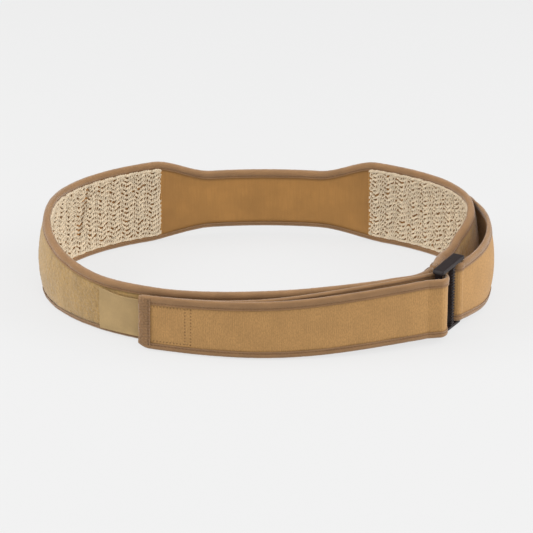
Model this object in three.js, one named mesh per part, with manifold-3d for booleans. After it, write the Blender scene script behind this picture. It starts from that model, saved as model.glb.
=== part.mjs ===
// Lumbar support belt, closed into a loop and standing on its lower edge.
// Millimetres, +Z up. The wearer's back is towards +Y, the buckle is at the front right.
//
// Every fabric piece is a band: a section drawn across the belt is swept along a plan path.
// In a section, u is the distance outward from the path and z the height.
// Belt angles are in degrees, 0 at +X and 90 at the back; the belt's own ends meet at the buckle.
import * as THREE from 'three';
import Module from 'manifold-3d';
import { mergeVertices } from 'three/addons/utils/BufferGeometryUtils.js';

// Plan of the belt band's middle surface: half an ellipse behind and half in front.
const HALF_WIDTH = 193;
const BACK_DEPTH = 119;
const FRONT_DEPTH = 112.5;
// The loop's left end lies this much further back.
const LEFT_SHIFT = 6;
// The pull of the straps flattens the band beside the buckle, and a little behind the pull strap.
const DENT = { depth: 26, from: -51, fromRun: 24, to: 24, toRun: 38 };
const SQUEEZE = { depth: 7, from: -100, fromRun: 35, to: -38, toRun: 18 };
// The loop is slightly conical: the lower edge stands this much further out than the upper one.
const LEAN = 3.5;
const LEAN_HEIGHT = 80;
// At its two sides the upper edge leans in this much further.
const SIDE_LEAN = 6.5;
// Moves the plan so that the origin is the middle of the whole belt's footprint.
const CENTRE = { x: -1.1, y: 5.1 };

// Heights of the band.
const BACK_TOP = 64.5;
const BACK_LIFT = 8;
const PAD_TOP = 79;
const FRONT_TOP = { right: 52.5, left: 49.5 };
// Where the upper edge falls from the pads to the front, in degrees from the middle of the back.
const FALL = { right: [54, 120], left: [75, 140] };

// The band's layers, as [inner, outer] distances from the middle surface.
const PAD_LAYER = [-3.9, -2.3];
const LINING_LAYER = [-1.9, -1.3];
const CORE_LAYER = [-1.0, 0.9];
const PILE_LAYER = [1.2, 2.0];
const BAND_BINDING = { inner: -2.9, outer: 3.0, tape: 0.6, leg: 7 };
const LOWER_HEM = 4.6;
const PAD_GAP = 0.5;
const EDGE_INSET = 1.0;
const GAP = 0.3;

// Where pieces start and end, in degrees around the belt.
const RIGHT_END = -39.8;
const LEFT_END = 319.8;
const END_WRAP = 2.7;
const END_INSET = 0.45;
const PAD_EDGE = 61;
const PAD_END = -33;
const STATION = 3;

// Slide buckle: two rails joined by three upright bars. It stands across the band's corner.
const BUCKLE = {
  x: 146, y: -97, heading: 60, length: 35, middleBar: 23.5,
  bottom: 0.6, rail: 4, slotTop: 61, top: 66.5, railRadius: 3.5, cornerRadius: 5,
  pullBar: 3.2, fixedBar: 2.6,
};
const TOOTH_PITCH = 4;

// Straps: elastic webbing with a binding folded over both edges.
const WEB = 1.8;
const STRAP_BINDING = { half: 1.8, tape: 0.6, leg: 6 };
const STRAP_LIFT = 0.8;
const SLOT_LIFT = 5.2;
const BAR_CLEARANCE = 0.4;
// The pull strap narrows towards its free end, and turns loosely round its bar.
const PULL_WIDTH = { end: 48, slot: 54.5 };
const LOOP_SLACK = 1.8;
const FIXED_WIDTH = 54.5;
const FIXED_TOP = 70;

// Pull strap: angles of its stretches, and of the anchor tab under its free end.
const TAB_END = -121.2;
const TAB_WRAP = 3.6;
const TAB_HINGE = -107.6;
const LOOP_START = -52;
const RETURN_END = -116;
const ANCHOR_END = -135.2;
const ANCHOR_HINGE = -123.5;
const ANCHOR_ROOT = -108;
const SPLIT = 0.25;

// Fixed strap, sewn to the band's right side.
const FIXED_START = 40;
const FIXED_TAIL = 24;

const radians = THREE.MathUtils.degToRad;
const smooth = (value) => THREE.MathUtils.smoothstep(value, 0, 1);

// ---------------------------------------------------------------- plan paths

// A point of the plan ellipse moved outward by a distance.
function onEllipse(angle, outward = 0) {
  const cos = Math.cos(radians(angle));
  const sin = Math.sin(radians(angle));
  const depth = sin > 0 ? BACK_DEPTH : FRONT_DEPTH;
  const normal = new THREE.Vector2(cos / HALF_WIDTH, sin / depth).normalize();
  const shift = LEFT_SHIFT * Math.max(-cos, 0) ** 2;
  return new THREE.Vector2(HALF_WIDTH * cos, depth * sin + shift).addScaledVector(normal, outward);
}

// A hollow that deepens over one stretch of angles and ends over another.
function hollow({ depth, from, fromRun, to, toRun }, angle) {
  return depth * smooth((angle - from) / fromRun) * smooth((to - angle) / toRun);
}

function dentDepth(angle) {
  const signed = THREE.MathUtils.euclideanModulo(angle + 180, 360) - 180;
  return hollow(DENT, signed) + hollow(SQUEEZE, signed);
}

const bandPoint = (angle) => onEllipse(angle, -dentDepth(angle));

const sideShare = (angle) => Math.abs(Math.cos(radians(angle))) ** 3;

// Distance of the pull strap's outer run from the ellipse, and of the run that returns beneath it.
const frontOffset = (angle) => 15.3 + 2.2 * smooth((angle + 115) / 25) + 5.8 * smooth((angle + 75) / 30);
const returnOffset = (angle) => 7.8 + 4 * smooth((angle + 72) / 25);

// The fixed strap lies on the band where it is sewn, then bridges the dent.
function fixedOffset(angle) {
  const bridge = 3.5 + 6.5 * (Math.min(angle, 0) / 35) ** 2;
  return Math.max(5.2 - dentDepth(angle), bridge);
}

// Angles from one end to the other, with every whole station between them.
function stations(from, to) {
  const list = [from];
  for (let angle = (Math.floor(from / STATION) + 1) * STATION; angle < to - 0.5; angle += STATION) {
    if (angle > from + 0.5) list.push(angle);
  }
  list.push(to);
  return list;
}

// Points on a circle about a bar of the buckle, run through by angle.
function aroundBar(centre, radius, from, to, steps) {
  return Array.from({ length: steps + 1 }, (_, step) => {
    const angle = radians(THREE.MathUtils.lerp(from, to, step / steps));
    return new THREE.Vector2(centre.x + radius * Math.cos(angle), centre.y + radius * Math.sin(angle));
  });
}

// Turns plan points into path stations: each gets its outward normal, its edges and its lean.
// A station's side is 1 at the belt's far left and right, and 0 at its front and back.
function makePath(points, edges) {
  return points.map((point, i) => {
    const before = points[Math.max(i - 1, 0)];
    const after = points[Math.min(i + 1, points.length - 1)];
    const along = after.clone().sub(before).normalize();
    const share = points.length > 1 ? i / (points.length - 1) : 0;
    return { point, normal: new THREE.Vector2(along.y, -along.x), ...edges(i, share) };
  });
}

// ---------------------------------------------------------------- solids

// Joins equal rings of points into one closed solid; outline is the ring's flat shape.
// Every face between two rings is split from its lower corner at the first ring to its upper
// corner at the second, so that layers stay parallel where they twist.
function loft(rings, outline) {
  const count = outline.length;
  const last = (rings.length - 1) * count;
  const index = [];
  for (let ring = 0; ring < last; ring += count) {
    for (let i = 0; i < count; i += 1) {
      const next = (i + 1) % count;
      const [a, b, c, d] = [ring + i, ring + next, ring + count + next, ring + count + i];
      if (outline[i].y < outline[next].y) {
        index.push(a, d, c, a, c, b);
      } else {
        index.push(a, d, b, d, c, b);
      }
    }
  }
  for (const [a, b, c] of THREE.ShapeUtils.triangulateShape(outline, [])) {
    index.push(a, b, c);
    index.push(last + a, last + c, last + b);
  }
  const geometry = new THREE.BufferGeometry();
  const positions = rings.flat().flatMap((corner) => corner.toArray());
  geometry.setAttribute('position', new THREE.Float32BufferAttribute(positions, 3));
  geometry.setIndex(index);
  return facingOut(geometry);
}

function facingOut(geometry) {
  const position = geometry.getAttribute('position');
  const index = geometry.getIndex();
  const corner = (i) => new THREE.Vector3().fromBufferAttribute(position, index.getX(i));
  let volume = 0;
  for (let i = 0; i < index.count; i += 3) {
    volume += corner(i).dot(corner(i + 1).cross(corner(i + 2)));
  }
  if (volume < 0) {
    for (let i = 0; i < index.count; i += 3) {
      const kept = index.getX(i);
      index.setX(i, index.getX(i + 1));
      index.setX(i + 1, kept);
    }
  }
  geometry.computeVertexNormals();
  return geometry;
}

// Places a section point at a station.
function placed(station, u, z) {
  const rise = z / LEAN_HEIGHT;
  const out = u + station.lean * (LEAN * (1 - rise) - SIDE_LEAN * station.side * rise);
  const plan = station.point.clone().addScaledVector(station.normal, out);
  return new THREE.Vector3(plan.x, plan.y, z);
}

// Sweeps a section, given as a function from a station to its corners, along a path.
function band(path, section) {
  const outline = section(path[0]).map(([u, z]) => new THREE.Vector2(u, z));
  return loft(path.map((station) => section(station).map(([u, z]) => placed(station, u, z))), outline);
}

// A flat layer between two distances, inset from the band's edges.
const layer = ([inner, outer], low, high = low) => (station) => [
  [inner, station.low + low],
  [outer, station.low + low],
  [outer, station.high - high],
  [inner, station.high - high],
];

// A tape folded over an edge: a channel that opens downward on the top edge, upward on the bottom.
function binding({ inner, outer, tape, leg }, side) {
  return (station) => {
    const edge = side === 'top' ? station.high : station.low;
    const into = side === 'top' ? -1 : 1;
    const corners = [
      [inner, edge],
      [inner, edge + into * leg],
      [inner + tape, edge + into * leg],
      [inner + tape, edge + into * tape],
      [outer - tape, edge + into * tape],
      [outer - tape, edge + into * leg],
      [outer, edge + into * leg],
      [outer, edge],
    ];
    return side === 'top' ? corners : corners.reverse();
  };
}

// The tape folded over a fabric end, upright, from the station where it starts to the very end.
function endBinding(start, end, { inner, outer, tape }) {
  const length = end.point.distanceTo(start.point);
  const between = { ...end, point: end.point.clone().lerp(start.point, tape / length) };
  const corners = [
    [start, outer], [end, outer], [end, inner], [start, inner],
    [start, inner + tape], [between, inner + tape], [between, outer - tape], [start, outer - tape],
  ];
  const ring = (edge) => corners.map(([station, u]) => placed(station, u, end[edge]));
  const outline = ring('low').map((corner) => new THREE.Vector2(corner.x, corner.y));
  if (THREE.ShapeUtils.isClockWise(outline)) {
    corners.reverse();
    outline.reverse();
  }
  return loft([ring('high'), ring('low')], outline);
}

// ---------------------------------------------------------------- booleans, for the buckle

const wasm = await Module();
wasm.setup();

function toManifold(geometry) {
  const bare = geometry.clone();
  bare.deleteAttribute('normal');
  bare.deleteAttribute('uv');
  const merged = mergeVertices(bare, 1e-4);
  const vertProperties = new Float32Array(merged.getAttribute('position').array);
  const triVerts = new Uint32Array(merged.getIndex().array);
  return new wasm.Manifold(new wasm.Mesh({ numProp: 3, vertProperties, triVerts }));
}

function fromManifold(solid) {
  const mesh = solid.getMesh();
  const geometry = new THREE.BufferGeometry();
  geometry.setAttribute('position', new THREE.Float32BufferAttribute(mesh.vertProperties, 3));
  geometry.setIndex(Array.from(mesh.triVerts));
  geometry.computeVertexNormals();
  return geometry;
}

const union = (geometries) => geometries.map(toManifold).reduce((sum, next) => sum.add(next));

// ---------------------------------------------------------------- scene

const belt = new THREE.Group();
belt.position.set(CENTRE.x, CENTRE.y, 0);

const MATERIALS = {
  binding: new THREE.MeshStandardMaterial({ color: '#a98b6d', roughness: 0.85 }),
  foam: new THREE.MeshStandardMaterial({ color: '#6e6257', roughness: 0.95 }),
  lining: new THREE.MeshStandardMaterial({ color: '#9f7543', roughness: 0.8 }),
  pile: new THREE.MeshStandardMaterial({ color: '#b1935f', roughness: 1 }),
  mesh: new THREE.MeshStandardMaterial({ color: '#d2bea0', roughness: 0.9 }),
  webbing: new THREE.MeshStandardMaterial({ color: '#af8655', roughness: 0.8 }),
  tab: new THREE.MeshStandardMaterial({ color: '#b09a6c', roughness: 0.9 }),
  hook: new THREE.MeshStandardMaterial({ color: '#a58f6a', roughness: 0.7 }),
  plastic: new THREE.MeshStandardMaterial({ color: '#332a2b', roughness: 0.4 }),
};

function add(name, geometry, material, parent = belt) {
  const mesh = new THREE.Mesh(geometry, MATERIALS[material]);
  mesh.name = name;
  parent.add(mesh);
  return mesh;
}

// ---------------------------------------------------------------- band

// 0 on the front's left half and 1 on its right, given degrees leftward from the back.
const frontShare = (leftward) => (leftward > 0 ? smooth((leftward - 152) / 28) : 1);

// The band is low and lifted at the middle of the back, tallest at the pads and tapers to the front.
function bandEdges(angle) {
  const leftward = THREE.MathUtils.euclideanModulo(angle + 90, 360) - 180;
  const fromBack = Math.abs(leftward);
  const [fallStart, fallEnd] = leftward > 0 ? FALL.left : FALL.right;
  const front = THREE.MathUtils.lerp(FRONT_TOP.left, FRONT_TOP.right, frontShare(leftward));
  const rise = (PAD_TOP - BACK_TOP) * smooth((fromBack - 14.5) / 17);
  const fall = (PAD_TOP - front) * smooth((fromBack - fallStart) / (fallEnd - fallStart));
  return {
    low: BACK_LIFT * (1 - smooth((fromBack - 14) / 20)),
    high: BACK_TOP + rise - fall,
    lean: 1,
    side: sideShare(angle),
  };
}

function bandPath(from, to) {
  const angles = stations(from, to);
  return angles.map((angle) => {
    const along = bandPoint(angle + 0.05).sub(bandPoint(angle - 0.05)).normalize();
    return { point: bandPoint(angle), normal: new THREE.Vector2(along.y, -along.x), ...bandEdges(angle) };
  });
}

const stackPath = bandPath(RIGHT_END + END_INSET, LEFT_END - END_INSET);
add('band_core', band(stackPath, layer(CORE_LAYER, EDGE_INSET)), 'foam');
add('band_lining', band(stackPath, layer(LINING_LAYER, EDGE_INSET)), 'lining');
add('band_pile', band(stackPath, layer(PILE_LAYER, EDGE_INSET)), 'pile');

const padSection = layer(PAD_LAYER, LOWER_HEM + PAD_GAP, BAND_BINDING.leg + PAD_GAP);
add('grip_pad_right', band(bandPath(PAD_END, PAD_EDGE), padSection), 'mesh');
add('grip_pad_left', band(bandPath(180 - PAD_EDGE, 180 - PAD_END), padSection), 'mesh');

const hemPath = bandPath(RIGHT_END + END_WRAP + 0.15, LEFT_END - END_WRAP - 0.15);
add('band_binding_top', band(hemPath, binding(BAND_BINDING, 'top')), 'binding');
add('band_binding_bottom', band(hemPath, binding({ ...BAND_BINDING, leg: LOWER_HEM }, 'bottom')), 'binding');
for (const [side, end, wrap] of [['right', RIGHT_END, END_WRAP], ['left', LEFT_END, -END_WRAP]]) {
  const [start] = bandPath(end + wrap, end + wrap + 1);
  const [tip] = bandPath(end, end + 1);
  add(`band_end_binding_${side}`, endBinding(start, tip, BAND_BINDING), 'binding');
}

// ---------------------------------------------------------------- buckle

const heading = radians(BUCKLE.heading);
const pullBar = new THREE.Vector2(BUCKLE.x, BUCKLE.y);
const alongBuckle = new THREE.Vector2(Math.cos(heading), Math.sin(heading));
const fixedBar = pullBar.clone().addScaledVector(alongBuckle, BUCKLE.length);

// A rail: a flat bar with round ends, centred on the two outer bars.
function rail(bottom, top) {
  const shape = new THREE.Shape();
  shape.absarc(BUCKLE.length, 0, BUCKLE.railRadius, -Math.PI / 2, Math.PI / 2);
  shape.absarc(0, 0, BUCKLE.railRadius, Math.PI / 2, (3 * Math.PI) / 2);
  const settings = { depth: top - bottom, bevelEnabled: false, curveSegments: 8 };
  return new THREE.ExtrudeGeometry(shape, settings).translate(0, 0, bottom);
}

function bar(radius, x) {
  const height = BUCKLE.top - BUCKLE.bottom - BUCKLE.rail;
  const geometry = new THREE.CylinderGeometry(radius, radius, height, 16);
  return geometry.rotateX(Math.PI / 2).translate(x, 0, (BUCKLE.bottom + BUCKLE.top) / 2);
}

function middleBar() {
  const height = BUCKLE.top - BUCKLE.bottom - BUCKLE.rail;
  const middle = (BUCKLE.bottom + BUCKLE.top) / 2;
  return new THREE.BoxGeometry(2.8, 4.4, height).translate(BUCKLE.middleBar, 0, middle);
}

// Small gripping teeth along the middle bar's outer corner.
function teeth() {
  const list = [];
  const first = BUCKLE.bottom + BUCKLE.rail + TOOTH_PITCH / 2;
  for (let z = first; z < BUCKLE.slotTop - 1; z += TOOTH_PITCH) {
    list.push(new THREE.BoxGeometry(0.9, 2.4, 1.8).translate(BUCKLE.middleBar + 1.6, -1, z));
  }
  return list;
}

// The frame's outline seen across the strap: a rectangle with rounded corners.
function buckleOutline() {
  const shape = new THREE.Shape();
  const left = -BUCKLE.railRadius;
  const right = BUCKLE.length + BUCKLE.railRadius;
  const corner = BUCKLE.cornerRadius;
  shape.absarc(right - corner, BUCKLE.bottom + corner, corner, -Math.PI / 2, 0);
  shape.absarc(right - corner, BUCKLE.top - corner, corner, 0, Math.PI / 2);
  shape.absarc(left + corner, BUCKLE.top - corner, corner, Math.PI / 2, Math.PI);
  shape.absarc(left + corner, BUCKLE.bottom + corner, corner, Math.PI, (3 * Math.PI) / 2);
  const settings = { depth: 20, bevelEnabled: false, curveSegments: 6 };
  return new THREE.ExtrudeGeometry(shape, settings).translate(0, 0, -10).rotateX(Math.PI / 2);
}

const buckle = new THREE.Group();
buckle.position.set(BUCKLE.x, BUCKLE.y, 0);
buckle.rotation.z = heading;
belt.add(buckle);
const buckleSolids = [
  rail(BUCKLE.bottom, BUCKLE.bottom + BUCKLE.rail),
  rail(BUCKLE.slotTop, BUCKLE.top),
  bar(BUCKLE.pullBar, 0),
  bar(BUCKLE.fixedBar, BUCKLE.length),
  middleBar(),
  ...teeth(),
];
const buckleFrame = union(buckleSolids).intersect(toManifold(buckleOutline()));
add('buckle_frame', fromManifold(buckleFrame), 'plastic', buckle);

// ---------------------------------------------------------------- straps

// Webbing and its two bindings along one path.
function strap(name, path) {
  const half = STRAP_BINDING.half;
  const tape = { inner: -half, outer: half, tape: STRAP_BINDING.tape, leg: STRAP_BINDING.leg };
  add(name, band(path, layer([-WEB / 2, WEB / 2], EDGE_INSET)), 'webbing');
  add(`${name}_binding_top`, band(path, binding(tape, 'top')), 'binding');
  add(`${name}_binding_bottom`, band(path, binding(tape, 'bottom')), 'binding');
}

// The pull strap rises from the floor towards the buckle, to enter its slot.
function pullEdges(angle) {
  const low = STRAP_LIFT + (SLOT_LIFT - STRAP_LIFT) * smooth((angle + 90) / 38);
  const share = (angle - TAB_END) / (LOOP_START - TAB_END);
  const width = THREE.MathUtils.lerp(PULL_WIDTH.end, PULL_WIDTH.slot, share);
  return { low, high: low + width, lean: smooth((LOOP_START - angle) / 23), side: 0 };
}

function pullPath(from, to, offset) {
  const angles = stations(from, to);
  return makePath(angles.map((angle) => onEllipse(angle, offset(angle))), (i) => pullEdges(angles[i]));
}

const loopRadius = BUCKLE.pullBar + BAR_CLEARANCE + LOOP_SLACK + STRAP_BINDING.half;
const slotEdges = () => ({ low: SLOT_LIFT, high: SLOT_LIFT + PULL_WIDTH.slot, lean: 0, side: 0 });
const loopPoints = [
  onEllipse(LOOP_START, frontOffset(LOOP_START)),
  onEllipse(LOOP_START + 3, frontOffset(LOOP_START + 3)),
  ...aroundBar(pullBar, loopRadius, -72, 105, 12),
  onEllipse(LOOP_START + 3, returnOffset(LOOP_START + 3)),
  onEllipse(LOOP_START, returnOffset(LOOP_START)),
];
strap('strap_loop', makePath(loopPoints, slotEdges));
strap('strap_front', pullPath(TAB_HINGE + SPLIT, LOOP_START - SPLIT, frontOffset));
strap('strap_return', pullPath(RETURN_END, LOOP_START - SPLIT, returnOffset));

// The free end of the pull strap: webbing, hems, end binding and the hook patch behind it.
const tabPath = pullPath(TAB_END + TAB_WRAP + 0.15, TAB_HINGE, frontOffset);
strap('strap_tab', tabPath);
const [tabTip, ...tabRest] = pullPath(TAB_END, TAB_HINGE, frontOffset);
const tabWrap = pullPath(TAB_END + TAB_WRAP, TAB_HINGE, frontOffset)[0];
const tabTape = { inner: -STRAP_BINDING.half, outer: STRAP_BINDING.half, tape: STRAP_BINDING.tape };
add('strap_tab_end_binding', endBinding(tabWrap, tabTip, tabTape), 'binding');
const HOOK_LAYER = [-STRAP_BINDING.half - GAP - 1.2, -STRAP_BINDING.half - GAP];
add('strap_tab_hook', band(tabPath, layer(HOOK_LAYER, 8)), 'hook');

// Anchor tab: stiff unbound tape with a hook field, the other end of the pull strap.
const ANCHOR_LAYER = [4.1, 4.7];
const ANCHOR_HOOK_LAYER = [3.3, 3.8];
// Its upper edge slopes down beside the strap.
function anchorPath(from, to) {
  return bandPath(from + 360, to + 360).map((station, i, all) => {
    const angle = THREE.MathUtils.lerp(from, to, i / (all.length - 1));
    return { ...station, high: station.high - 2.8 * smooth((angle - ANCHOR_END) / 8) };
  });
}
for (const [name, from, to] of [
  ['anchor_tab', ANCHOR_END, ANCHOR_HINGE],
  ['anchor_base', ANCHOR_HINGE + SPLIT, ANCHOR_ROOT],
]) {
  add(name, band(anchorPath(from, to), layer(ANCHOR_LAYER, 3.2, 8)), 'tab');
  add(`${name}_hook`, band(anchorPath(from, to), layer(ANCHOR_HOOK_LAYER, 5, 10)), 'hook');
}

// Fixed strap: sewn to the band, then across to the buckle and round its bar, with a short tail.
function fixedEdges(angle) {
  const fromBuckle = smooth((angle + 45) / 65);
  return {
    low: THREE.MathUtils.lerp(SLOT_LIFT, STRAP_LIFT, smooth((angle + 36) / 25)),
    high: THREE.MathUtils.lerp(SLOT_LIFT + FIXED_WIDTH, FIXED_TOP, fromBuckle),
    lean: smooth((angle + 36) / 25),
    side: sideShare(angle),
  };
}
const foldRadius = BUCKLE.fixedBar + BAR_CLEARANCE + STRAP_BINDING.half;
const foldPoints = aroundBar(fixedBar, foldRadius, BUCKLE.heading - 90, BUCKLE.heading - 270, 12);
const tailStart = foldPoints.at(-1);
const tailPoints = [8, 16, FIXED_TAIL].map((run) => tailStart.clone().addScaledVector(alongBuckle, run));
const runAngles = stations(-33, FIXED_START).reverse();
const runPoints = runAngles.map((angle) => onEllipse(angle, fixedOffset(angle)));
const fixedPoints = [...runPoints, ...foldPoints, ...tailPoints].reverse();
const fixedAngles = [...runAngles, ...foldPoints.map(() => -45), ...tailPoints.map(() => -45)].reverse();
const fixedPath = makePath(fixedPoints, (i) => fixedEdges(fixedAngles[i]));
strap('fixed_strap', fixedPath);

export default belt;
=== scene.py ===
"""Lumbar support belt: the looks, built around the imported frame.

Lengths in this file are millimetres until make_object turns them into metres. Every fabric piece
is swept along the belt's plan: u is the distance outward from the path, z the height.
"""

import math

import bmesh
import bpy
import numpy as np
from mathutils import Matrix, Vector


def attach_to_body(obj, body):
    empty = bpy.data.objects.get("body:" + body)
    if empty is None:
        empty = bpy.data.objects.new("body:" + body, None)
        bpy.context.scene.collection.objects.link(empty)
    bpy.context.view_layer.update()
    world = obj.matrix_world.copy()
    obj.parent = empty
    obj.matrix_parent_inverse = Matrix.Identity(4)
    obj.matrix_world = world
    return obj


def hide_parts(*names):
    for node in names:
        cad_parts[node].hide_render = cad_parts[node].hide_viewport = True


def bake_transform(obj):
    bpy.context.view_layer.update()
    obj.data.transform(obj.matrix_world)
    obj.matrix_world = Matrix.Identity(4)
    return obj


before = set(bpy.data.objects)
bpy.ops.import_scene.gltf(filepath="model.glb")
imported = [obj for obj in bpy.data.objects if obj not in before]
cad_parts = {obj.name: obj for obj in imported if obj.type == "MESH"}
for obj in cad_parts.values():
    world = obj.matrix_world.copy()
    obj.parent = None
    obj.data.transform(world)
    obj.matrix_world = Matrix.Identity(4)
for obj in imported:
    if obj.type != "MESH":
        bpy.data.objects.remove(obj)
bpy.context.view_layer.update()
SCENE = bpy.context.scene
MM = 0.001

# ---------------------------------------------------------------- the belt's plan, as in its CAD

HALF_WIDTH = 193.0
BACK_DEPTH = 119.0
FRONT_DEPTH = 112.5
LEFT_SHIFT = 6.0
DENT = {"depth": 26.0, "from": -51.0, "from_run": 24.0, "to": 24.0, "to_run": 38.0}
SQUEEZE = {"depth": 7.0, "from": -100.0, "from_run": 35.0, "to": -38.0, "to_run": 18.0}
LEAN = 3.5
LEAN_HEIGHT = 80.0
SIDE_LEAN = 6.5
BULGE = 4.6
TUCK = 5.0
CENTRE = np.array([-1.1, 5.1])

BACK_TOP = 64.5
BACK_LIFT = 8.0
PAD_TOP = 79.0
FRONT_TOP = {"right": 52.5, "left": 49.5}
FALL = {"right": (54.0, 120.0), "left": (75.0, 140.0)}

BAND_HALF = 2.95
BAND_MIDDLE = 0.05
BAND_LEGS = {"top": 7.0, "bottom": 4.6}
TAPE = 0.6
INSET = 1.0
RIGHT_END = -39.8
LEFT_END = 319.8
END_GAP = 0.45
PAD_EDGE = 61.0
PAD_END = -33.0

BUCKLE = {
    "x": 146.0, "y": -97.0, "heading": 60.0, "length": 35.0, "middle": 23.5, "bottom": 0.6,
    "rail": 4.0, "slot_top": 61.0, "top": 66.5, "rail_radius": 3.5, "corner": 5.5, "low_corner": 9.0,
    "pull": 3.2, "fixed": 2.6,
}

WEB = 1.8
STRAP_HALF = 1.8
STRAP_LEGS = {"top": 7.3, "bottom": 5.8}
INNER_LEGS = {"top": 4.3, "bottom": 5.8}
STRAP_LIFT = 0.8
SLOT_LIFT = 5.2
BAR_CLEARANCE = 0.4
LOOP_SLACK = 1.8
PULL_END_WIDTH = 48.0
SLOT_WIDTH = 54.5
FIXED_TOP = 70.0

TAB_END = -121.2
TAB_WRAP = 11.0
TAB_HINGE = -107.6
TAB_SEAM = TAB_HINGE + 3.2
TAB_BLEND = 1.5
LOOP_START = -52.0
LOOP_SPLIT = 15.0
RETURN_END = -116.0
ANCHOR_END = -135.2
ANCHOR_HINGE = -123.5
ANCHOR_ROOT = -108.0
ANCHOR_BLEND = 1.2
FIXED_START = 40.0
FIXED_TAIL = 24.0

RIB_PITCH = 1.7
HEM_STITCH = 1.5
END_STITCH = 1.6
STITCH_PITCH = 3.0
STITCH_LENGTH = 2.2
THREAD = 0.24
ROW_PITCH = 4.4
WALE_PITCH = 12.6
YARN = 0.78
CREASE_AT = 82.0

FLOOR_GLOW = 0.72
FLOOR_GREY = 0.12
SKY = 0.4


def smooth(value):
    t = np.clip(value, 0.0, 1.0)
    return t * t * (3.0 - 2.0 * t)


def lerp(a, b, t):
    return a + (b - a) * t


def unit(vectors):
    return vectors / np.linalg.norm(vectors, axis=-1, keepdims=True)


def on_ellipse(angle, outward=0.0):
    """Points of the plan ellipse at angles in degrees, moved outward."""
    angle = np.asarray(angle, float)
    cos, sin = np.cos(np.radians(angle)), np.sin(np.radians(angle))
    depth = np.where(sin > 0, BACK_DEPTH, FRONT_DEPTH)
    normal = unit(np.stack([cos / HALF_WIDTH, sin / depth], -1))
    out = np.broadcast_to(outward, angle.shape)[..., None]
    shift = LEFT_SHIFT * np.maximum(-cos, 0.0) ** 2
    return np.stack([HALF_WIDTH * cos, depth * sin + shift], -1) + normal * out


def hollow(shape, angle):
    """A hollow that deepens over one stretch of angles and ends over another."""
    near = smooth((angle - shape["from"]) / shape["from_run"])
    return shape["depth"] * near * smooth((shape["to"] - angle) / shape["to_run"])


def dent_depth(angle):
    signed = np.mod(np.asarray(angle, float) + 180.0, 360.0) - 180.0
    return hollow(DENT, signed) + hollow(SQUEEZE, signed)


def side_share(angle):
    """1 at the belt's far left and right, 0 at its front and back."""
    return np.abs(np.cos(np.radians(angle))) ** 3


def band_plan(angle):
    return on_ellipse(angle, -dent_depth(angle))


def band_edges(angle):
    """(lower edge, upper edge, lean, side share) of the band."""
    leftward = np.mod(np.asarray(angle, float) + 90.0, 360.0) - 180.0
    from_back = np.abs(leftward)
    low = BACK_LIFT * (1.0 - smooth((from_back - 14.0) / 20.0))
    start, end = (np.where(leftward > 0, FALL["left"][i], FALL["right"][i]) for i in range(2))
    share = np.where(leftward > 0, smooth((leftward - 152.0) / 28.0), 1.0)
    front = lerp(FRONT_TOP["left"], FRONT_TOP["right"], share)
    rise = (PAD_TOP - BACK_TOP) * smooth((from_back - 14.5) / 17.0)
    fall = (PAD_TOP - front) * smooth((from_back - start) / (end - start))
    return low, BACK_TOP + rise - fall, np.ones_like(low), side_share(angle)


def front_offset(angle):
    return 15.3 + 2.2 * smooth((angle + 115.0) / 25.0) + 5.8 * smooth((angle + 75.0) / 30.0)


def return_offset(angle):
    return 7.8 + 4.0 * smooth((angle + 72.0) / 25.0)


def pull_edges(angle):
    low = STRAP_LIFT + (SLOT_LIFT - STRAP_LIFT) * smooth((angle + 90.0) / 38.0)
    share = np.minimum((angle - TAB_END) / (LOOP_START - TAB_END), 1.0)
    width = lerp(PULL_END_WIDTH, SLOT_WIDTH, share)
    return low, low + width, smooth((LOOP_START - angle) / 23.0), np.zeros_like(low)


def fixed_offset(angle):
    bridge = 3.5 + 6.5 * (np.minimum(angle, 0.0) / 35.0) ** 2
    return np.maximum(5.2 - dent_depth(angle), bridge)


def fixed_edges(angle):
    flat = smooth((angle + 36.0) / 25.0)
    high = lerp(SLOT_LIFT + SLOT_WIDTH, FIXED_TOP, smooth((angle + 45.0) / 65.0))
    return lerp(SLOT_LIFT, STRAP_LIFT, flat), high, flat, side_share(angle)


HEADING = math.radians(BUCKLE["heading"])
ALONG_BUCKLE = np.array([math.cos(HEADING), math.sin(HEADING)])
PULL_BAR = np.array([BUCKLE["x"], BUCKLE["y"]])
FIXED_BAR = PULL_BAR + ALONG_BUCKLE * BUCKLE["length"]
LOOP_RADIUS = BUCKLE["pull"] + BAR_CLEARANCE + LOOP_SLACK + STRAP_HALF


def around(centre, radius, start, end):
    angle = np.radians(np.linspace(start, end, 48))
    return centre + radius * np.stack([np.cos(angle), np.sin(angle)], -1)


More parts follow.
